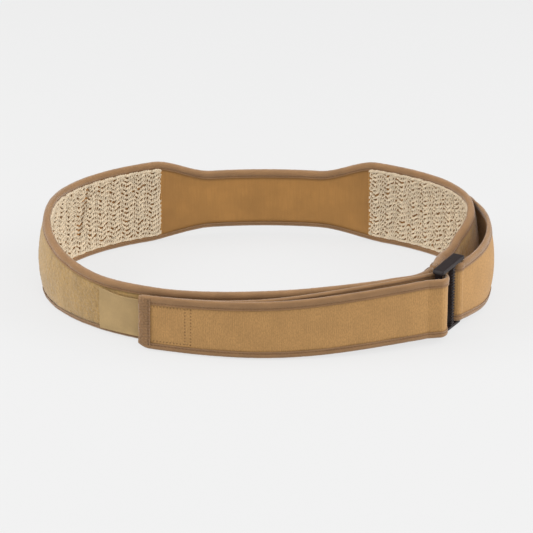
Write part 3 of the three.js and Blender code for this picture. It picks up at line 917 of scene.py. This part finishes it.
def make_pad(side, start, end, seed):
    """An open knit: zigzag courses of plied yarn joined by upright links, on a thin scrim.

    The left pad is creased from top to bottom at CREASE_AT mm from its free edge.
    """
    top, bottom = BAND_LEGS["top"], BAND_LEGS["bottom"]
    path = band_path(start, end, 1.5)
    (out, front), (inner, back) = sheet_section(path, -2.4, -2.05, bottom - 1.2, top - 1.2, 4, 20)
    scrim = sweep(f"grip_pad_{side}_scrim", path, both(out, inner), both(front, back), "scrim")
    attach(scrim, "band", [f"grip_pad_{side}"])
    random = np.random.default_rng(seed)
    selvedge, creased = (path.length, False) if side == "right" else (0.0, True)
    yarns, courses = [], []

    def from_crease(s, z):
        return s - CREASE_AT + 0.17 * (z - 40.0)

    def lay(s, depth, z, thick, turn, shade):
        """Lays the two twisted plies of one yarn."""
        for ply in (0.0, math.pi):
            twist = 2 * np.pi * s / 4.6 + ply + turn
            line = path.at(s, depth + 0.55 * thick * np.cos(twist), z + 0.75 * thick * np.sin(twist))
            radius = YARN * thick
            radius[[0, -1]] *= 0.5
            yarns.append((line, path.side(s), radius, shade))

    grid = np.linspace(1.0, path.length - 1.0, int(path.length / 0.8))
    low, high = path.edges(grid)
    first, limit = bottom + 2.2, high - top - 0.1
    zig = 1.55 * np.sin(2 * np.pi * (grid + 1.2 * wander(grid, 40, seed + 3)) / WALE_PITCH)
    zig = zig + 0.35 * np.sin(4 * np.pi * grid / WALE_PITCH + 0.8)
    for row in range(int((PAD_TOP - first) / ROW_PITCH) + 1):
        ragged = random.uniform(-1.2, 0.8)
        level = first + row * ROW_PITCH + low + zig + 0.35 * wander(grid, 26.0, seed * 7 + row)
        inside = level < limit + 0.95 * ROW_PITCH
        inside &= np.abs(grid - selvedge) > max(0.0, 1.0 - ragged)
        level = np.clip(level, low + bottom + 2.4, limit)
        courses.append((level, inside))
        kept = np.flatnonzero(inside)
        for run in np.split(kept, np.flatnonzero(np.diff(kept) > 1) + 1):
            if len(run) < 12:
                continue
            s, z = grid[run], level[run]
            thick = 1.0 + 0.14 * wander(s, 9.0, seed + row * 13)
            depth = -3.2 + 0.3 * np.sin(2 * np.pi * s / WALE_PITCH + 0.7) + 0.15 * wander(s, 6.0, seed + row)
            # Along the crease the yarn dips, thins and darkens: painted shade in the crease.
            crease = creased * bell(from_crease(s, z), 2.4)
            crease = crease * smooth((z - 14.0) / 14.0) * (0.75 + 0.25 * wander(s, 3.0, row + 900))
            lay(s, depth + 0.55 * crease, z, thick * (1.0 - 0.4 * crease), row, 0.55 * crease)
    thick = 0.9 + 0.1 * wander(grid, 7.0, seed + 400)
    for number, border in enumerate((low + first, high - top - 0.7)):
        lay(grid, -2.75, border, thick, number, np.full_like(grid, 0.15))
    lines, sides, radii, shades = zip(*yarns)
    knit = tubes(f"grip_pad_{side}_courses", lines, sides, radii, "yarn", apart=17.3, shades=shades)
    attach(knit, "band")

    links = []
    f = np.linspace(0.0, 1.0, 8)
    for (level, inside), (above, inside_above) in zip(courses, courses[1:]):
        for k in np.arange(WALE_PITCH * 0.08, path.length - 2.0, WALE_PITCH / 6):
            s0 = k + random.uniform(-0.5, 0.5)
            trough = 0.5 - 0.5 * math.sin(2 * math.pi * s0 / WALE_PITCH)
            if random.random() < 0.04 + 0.4 * trough or not 1.5 < s0 < path.length - 1.5:
                continue
            i = int(np.clip(np.searchsorted(grid, s0), 0, len(grid) - 1))
            if not (inside[i] and inside_above[i]):
                continue
            if creased and abs(from_crease(s0, level[i])) < 1.6 and level[i] > 20.0:
                continue
            lean = random.uniform(-1.1, 1.1)
            s = s0 + lean * (f - 0.5) + 0.5 * np.sin(f * np.pi * 2)
            z = lerp(level[i] - 0.7, above[i] + 0.7, f)
            links.append((path.at(s, -3.25 - 0.75 * np.sin(f * np.pi) ** 0.7, z), path.side(s)))
    taper = np.array([0.5, 0.85, 1.0, 1.0, 1.0, 1.0, 0.85, 0.5]) * YARN * 0.72
    link_piece = tubes(f"grip_pad_{side}_links", *zip(*links), [taper] * len(links), "yarn")
    attach(link_piece, "band")
    declare_sheet(
        scrim, path, path.tall - top - bottom + 2.4,
        with_pieces=[knit, link_piece, pad_seam(side, path, selvedge)],
    )


def pad_seam(side, path, selvedge):
    """The zigzag of thread that sews a pad's edge to the lining at the back."""
    low, high = path.edges(selvedge)
    z = np.arange(low + BAND_LEGS["bottom"] + 0.6, high - BAND_LEGS["top"] - 0.6, 0.35)
    across = 1.1 * np.abs(np.mod(z / 2.6, 1.0) * 2.0 - 1.0) - 1.6
    s = selvedge + (1.0 if selvedge > 0 else -1.0) * across
    line = path.at(s, -2.55, z)
    seam = tubes(f"grip_pad_{side}_seam", [line], [path.side(s)], [np.full(len(z), 0.34)], "seam")
    return attach(seam, "band")


# ---------------------------------------------------------------- straps


def web(
    name, path, move, replaces, seed,
    legs=STRAP_LEGS, material="webbing", origin=0.0, pits=(), columns=40,
):
    """Webbing with real ribs on both faces, counted from an arc length, the origin.

    The legs are how far its tapes reach, and the pits the (s, z) of needle holes in its outer face.
    """
    (out, face), (inner, back) = sheet_section(path, -WEB / 2, WEB / 2, INSET, INSET, columns)
    s = path.s[:, None]
    raised = 0.03 * (1.0 - np.cos(2 * np.pi * (s - origin) / RIB_PITCH))
    soft = 0.12 * ripple(s, face, 34.0, seed)
    out, inner = out + raised + soft, inner - raised + soft[:, ::-1]
    above, below = between_tapes(path, face, legs)
    # Painted shade beside the tapes and in the needle holes.
    dark = 0.5 * (1.0 - smooth((np.minimum(above, below) + 0.4) / 1.8))
    for hole_s, hole_z in pits:
        pit = bell(np.hypot(s - hole_s, face - hole_z), 0.55)
        out = out - 0.55 * pit
        dark = np.maximum(dark, 1.1 * pit)
    shade = both(np.clip(dark, 0, 1), 0.0 * inner)
    piece = sweep(name, path, both(out, inner), both(face, back), material, shade=shade, sharp=75.0)
    attach(piece, move, replaces)
    declare_sheet(piece, path, path.tall - 2 * INSET)


def strap_tapes(name, path, move, nodes, seed, legs=STRAP_LEGS):
    """The two binding tapes of a strap, for the bindings of its CAD nodes."""
    for side, number in (("top", seed), ("bottom", seed + 4)):
        folded_tape(
            f"{name}_tape_{side}", path, 0.0, STRAP_HALF, legs[side], side, 0.4, move,
            [f"{node}_binding_{side}" for node in nodes], number,
        )


def make_pull_strap():
    web(
        "inner_webbing", inner_path(0.42), "inner", ["strap_return"], 71,
        legs=INNER_LEGS, material="pile",
    )
    strap_tapes("inner_strap", inner_path(0.8), "inner", ["strap_return"], 72, INNER_LEGS)
    nodes = ["strap_front", "strap_loop"]
    web("front_webbing", front_path(0.34), "front", nodes, 81)
    strap_tapes("front_strap", front_path(0.75), "front", nodes, 82)


def make_tab():
    """The pull strap's end: webbing with a stitched box, hems, end tape and hook patch."""
    fine = tab_path(TAB_SEAM, 0.34)
    hinge = fine.near(on_ellipse(TAB_HINGE, front_offset(TAB_HINGE)))
    left, pitch = TAB_WRAP + 1.6, 2.9

    def box_rows(s):
        """The heights of the stitched box's lower and upper rows."""
        low, high = fine.edges(s)
        return low + STRAP_LEGS["bottom"] + 2.2, high - STRAP_LEGS["top"] - 1.6

    pits = [(s, z) for s in np.arange(left + 1.0, hinge + 0.5, pitch) for z in box_rows(s)]
    pits += [(s, z) for s in (hinge - 5.0, hinge) for z in np.arange(*box_rows(s), pitch)]
    web(
        "tab_webbing", fine, "tab", ["strap_tab"], 81,
        origin=fine.length, pits=pits, columns=90,
    )
    path = tab_path(TAB_SEAM, 0.7)
    strap_tapes("tab", path, "tab", ["strap_tab"], 92)
    end_tape(
        "tab_end_tape", path, True, TAB_WRAP, 0.0, STRAP_HALF, "tip",
        ["strap_tab_end_binding"], 95, 0.55,
    )
    path = tab_path(TAB_HINGE, 0.8)
    hook_patch("tab_hook", path, -3.3, -2.1, 8.0, 8.0, "tab", ["strap_tab_hook"], 3.0, path.length)


def hook_patch(name, path, inner, outer, low, high, move, replaces, start, end):
    """Hook tape: a woven base, and a field of small bent hooks on its inner side."""
    depth = outer - inner
    root = inner + depth * 0.55
    (out, face), (inn, back) = sheet_section(path, root, outer, low, high, 14)
    base = sweep(name, path, both(out, inn), both(face, back), "hook")
    attach(base, move, replaces)
    random = np.random.default_rng(3)
    lines, sides = [], []
    f = np.linspace(0.0, 1.0, 5)
    u = root - depth * 0.62 * np.sin(f * 2.2) / 0.85
    for column, s0 in enumerate(np.arange(start + 1.0, end - 1.0, 1.55)):
        bottom, top = path.edges(s0)
        s = np.full(5, s0)
        for z0 in np.arange(bottom + low + 1.0 + (column % 2) * 0.8, top - high - 1.0, 1.6):
            lean = random.uniform(-0.15, 0.15)
            lines.append(path.at(s + lean * f, u, z0 + lean * f + 0.5 * (1.0 - np.cos(f * 2.2))))
            sides.append(path.side(s) * 0.2 + path.along(s))
    taper = np.array([1.2, 1.0, 0.9, 0.8, 0.55]) * 0.16
    hooks = tubes(name + "_field", lines, sides, [taper] * len(lines), "hook", corners=5)
    attach(hooks, move)
    declare_sheet(base, path, path.tall - low - high, with_pieces=[hooks])


def make_anchor():
    """The unbound anchor tape hooked onto the pile beneath the strap's end."""
    path, columns = anchor_path(0.8), 44
    (out, face), (inner, back) = sheet_section(path, 4.1, 4.7, 4.2, 8.0, columns)
    share = np.concatenate([np.linspace(0, 1, columns), np.linspace(1, 0, columns)])[None, :]
    free = np.exp(-path.s / 5.0)[:, None]
    lift = 0.5 * free * (0.4 + 0.6 * np.abs(2 * share - 1.0) ** 2) + 0.5 * smooth((share - 0.9) / 0.1)
    lift = lift + 0.1 * ripple(path.s[:, None], share * 50.0, 22.0, 17)
    frayed = 0.12 * wander(path.s, 3.0, 18)[:, None] * (share > 0.98)
    u, z = both(out, inner) + lift, both(face, back) + frayed
    tape = sweep("anchor_tape", path, u, z, "tab", shade=0.0, sharp=60.0)
    attach(tape, "anchor", ["anchor_tab", "anchor_base"])
    declare_sheet(tape, path, path.tall - 12.2)
    hook_patch(
        "anchor_hook", path, 3.2, 3.9, 5.0, 10.0, "anchor", ["anchor_tab_hook", "anchor_base_hook"],
        1.0, path.length - 2.0,
    )


def make_fixed_strap():
    web("fixed_webbing", fixed_path(0.36), "band", ["fixed_strap"], 101)
    path = fixed_path(0.75)
    strap_tapes("fixed_strap", path, "band", ["fixed_strap"], 102)
    rows = []
    for back in (3.0, 9.0):
        low, high = path.edges(path.length - back)
        low, high = low + STRAP_LEGS["bottom"] + 1.0, high - STRAP_LEGS["top"] - 1.0
        rows.append(upright_row(path, path.length - back, 0.0, WEB / 2 + 0.2, low, high))
    thread_piece("fixed_strap_end_stitches", rows, "band")


# ---------------------------------------------------------------- buckle


def rounded_box(size, centre, bevel, segments=3):
    box = bmesh.new()
    bmesh.ops.create_cube(box, size=1.0)
    for vertex in box.verts:
        vertex.co = Vector(vertex.co[i] * size[i] + centre[i] for i in range(3))
    bmesh.ops.bevel(box, geom=box.edges[:], offset=bevel, segments=segments, profile=0.5, affect="EDGES")
    return box


def bar(radius, x, middle, height):
    """An upright round bar."""
    rod = bmesh.new()
    bmesh.ops.create_cone(rod, cap_ends=True, segments=32, radius1=radius, radius2=radius, depth=height)
    bmesh.ops.translate(rod, verts=rod.verts, vec=(x, 0, middle))
    return rod


def round_corner(x, z):
    """Draws a point of the frame into its outline seen across the strap, whose corners are round."""
    radius = BUCKLE["corner"] if x > 12.0 or z > 12.0 else BUCKLE["low_corner"]
    left, right = -BUCKLE["rail_radius"], BUCKLE["length"] + BUCKLE["rail_radius"]
    near_x = min(max(x, left + radius), right - radius)
    near_z = min(max(z, BUCKLE["bottom"] + radius), BUCKLE["top"] - radius)
    away = math.hypot(x - near_x, z - near_z)
    if away <= radius or near_x == x or near_z == z:
        return x, z
    return near_x + (x - near_x) * radius / away, near_z + (z - near_z) * radius / away


def buckle_parts():
    """The rails, bars and gripping teeth, lying along x from the pull strap's bar."""
    bottom, top, rail, slot_top, length, radius, inner_bar = (
        BUCKLE[key] for key in ("bottom", "top", "rail", "slot_top", "length", "rail_radius", "middle")
    )
    long, bars, centre, half = length + 2 * radius, top - bottom - 4.0, (bottom + top) / 2, length / 2
    yield rounded_box((long, 2 * radius, rail), (half, 0, bottom + rail / 2), 1.4)
    yield rounded_box((long, 2 * radius + 3.4, top - slot_top), (half, -0.5, top - (top - slot_top) / 2), 1.9)
    yield bar(BUCKLE["pull"], 0.0, centre, bars)
    yield bar(BUCKLE["fixed"], length, centre, bars)
    yield rounded_box((2.8, 4.4, bars), (inner_bar, 0, centre), 0.6)
    for x in (inner_bar + 1.0, 1.0, length - 1.0):
        yield rounded_box((6.5, 5.4, 3.4), (x, 0, slot_top + 0.9), 1.6)
    for z in np.arange(bottom + rail + 2.0, slot_top - 1.0, 2.6):
        yield rounded_box((4.4, 1.8, 1.3), (inner_bar, -2.4, z), 0.2, 2)


def make_buckle():
    """The slide buckle, moulded in one: its parts melted together."""
    whole = bmesh.new()
    for part in buckle_parts():
        mesh = bpy.data.meshes.new("buckle_part")
        part.to_mesh(mesh)
        part.free()
        whole.from_mesh(mesh)
        bpy.data.meshes.remove(mesh)
    cos, sin = ALONG_BUCKLE
    for vertex in whole.verts:
        x, z = round_corner(vertex.co.x, vertex.co.z)
        y = vertex.co.y
        vertex.co = Vector((
            (BUCKLE["x"] + CENTRE[0] + x * cos - y * sin) * MM,
            (BUCKLE["y"] + CENTRE[1] + x * sin + y * cos) * MM,
            z * MM,
        ))
    mesh = bpy.data.meshes.new("slide_buckle")
    whole.to_mesh(mesh)
    whole.free()
    piece = place(bpy.data.objects.new("slide_buckle", mesh))
    melt = piece.modifiers.new("melt", "REMESH")
    melt.mode = "VOXEL"
    melt.voxel_size = 0.4 * MM
    melt.use_smooth_shade = True
    soften = piece.modifiers.new("soften", "SMOOTH")
    soften.factor = 0.5
    soften.iterations = 3
    bpy.context.view_layer.update()
    evaluated = piece.evaluated_get(bpy.context.evaluated_depsgraph_get())
    piece.data = bpy.data.meshes.new_from_object(evaluated)
    piece.modifiers.clear()
    piece.data.polygons.foreach_set("use_smooth", np.ones(len(piece.data.polygons), bool))
    piece.data.materials.clear()
    piece.data.materials.append(MATERIALS["plastic"])
    attach(piece, "buckle", ["buckle_frame"])


# ---------------------------------------------------------------- stage, lights and camera


def make_stage():
    """A wide pale floor, part lit by itself so that it stays even."""
    sh = Shader("pale_floor", roughness=1.0)
    sh.set("Base Color", (FLOOR_GREY, FLOOR_GREY, FLOOR_GREY, 1.0))
    sh.set("Specular IOR Level", 0.0)
    sh.set("Emission Color", (1.0, 1.0, 1.0, 1.0))
    sh.set("Emission Strength", FLOOR_GLOW)
    size, below = 6.0, -0.0003
    mesh = bpy.data.meshes.new("floor")
    corners = [(-size, -size, below), (size, -size, below), (size, size, below), (-size, size, below)]
    mesh.from_pydata(corners, [], [(0, 1, 2, 3)])
    mesh.materials.append(sh.material)
    place(bpy.data.objects.new("floor", mesh))


def area_light(name, location, target, size, power):
    lamp = bpy.data.lights.new(name, "AREA")
    lamp.shape = "RECTANGLE"
    lamp.size, lamp.size_y = size
    lamp.energy = power
    holder = place(bpy.data.objects.new(name, lamp))
    holder.location = location
    holder.rotation_euler = (Vector(target) - Vector(location)).to_track_quat("-Z", "Y").to_euler()


def make_lights():
    world = bpy.data.worlds.new("studio")
    world.use_nodes = True
    background = world.node_tree.nodes["Background"]
    background.inputs["Color"].default_value = (1.0, 1.0, 1.0, 1.0)
    background.inputs["Strength"].default_value = SKY
    SCENE.world = world
    area_light("left_softbox", (-1.5, -0.1, 1.1), (0, 0, 0.03), (1.4, 1.2), 24.0)
    area_light("right_softbox", (1.6, -0.1, 0.9), (0, 0, 0.03), (1.4, 1.2), 25.0)
    area_light("overhead_softbox", (0.0, -0.2, 1.9), (0, 0, 0), (2.0, 2.0), 9.0)
    area_light("front_softbox", (0.4, -1.7, 1.5), (0, 0, 0.03), (1.2, 0.8), 9.0)
    SCENE.view_settings.view_transform = "Standard"


def make_camera():
    """The picture's view: 25 degrees above the horizon, from in front, through a long lens."""
    elevation, distance = math.radians(25.0), 2.5
    aim = Vector((0.2, -21.9, 35.7)) * MM
    back = Vector((0.0, -math.cos(elevation), math.sin(elevation)))
    camera = bpy.data.cameras.new("camera")
    camera.lens = 195.03
    camera.sensor_width = 36.0
    holder = place(bpy.data.objects.new("camera", camera))
    holder.location = aim + back * distance
    holder.rotation_euler = (-back).to_track_quat("-Z", "Y").to_euler()
    SCENE.camera = holder


make_camera()
make_lights()
make_stage()
make_core()
make_lining()
make_pile()
make_band_tapes()
make_pad("right", PAD_END, PAD_EDGE, 7)
make_pad("left", 180.0 - PAD_EDGE, 180.0 - PAD_END, 9)
make_buckle()
make_pull_strap()
make_tab()
make_anchor()
make_fixed_strap()
